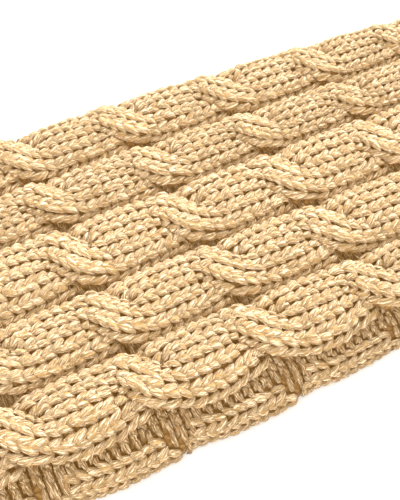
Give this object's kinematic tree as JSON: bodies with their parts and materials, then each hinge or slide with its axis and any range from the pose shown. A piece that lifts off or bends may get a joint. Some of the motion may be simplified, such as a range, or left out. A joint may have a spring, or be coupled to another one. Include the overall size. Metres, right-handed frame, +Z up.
{
  "type": "pair of leg warmers",
  "caption": "Two cable-knit leg warmers lying flat side by side, each a pressed knitted tube with rope cables along it and a short ribbed cuff at both ends.",
  "frame": {"origin": "middle of the pair's underside, on the surface that it lies on, between the two leg warmers", "axes": "+X along the leg warmers towards their top cuffs, +Y across from the right one to the left one, +Z up"},
  "size_m": [0.4356, 0.331, 0.0167],
  "materials": {
    "cable_knit": "soft acrylic yarn, cable knit, light camel",
    "ribbing": "soft acrylic yarn, 2x2 rib, light camel"
  },
  "bodies": {
    "root": {"left_leg": "cable_knit", "left_top_cuff": "ribbing", "left_ankle_cuff": "ribbing", "right_leg": "cable_knit", "right_top_cuff": "ribbing", "right_ankle_cuff": "ribbing"}
  },
  "joints": []
}
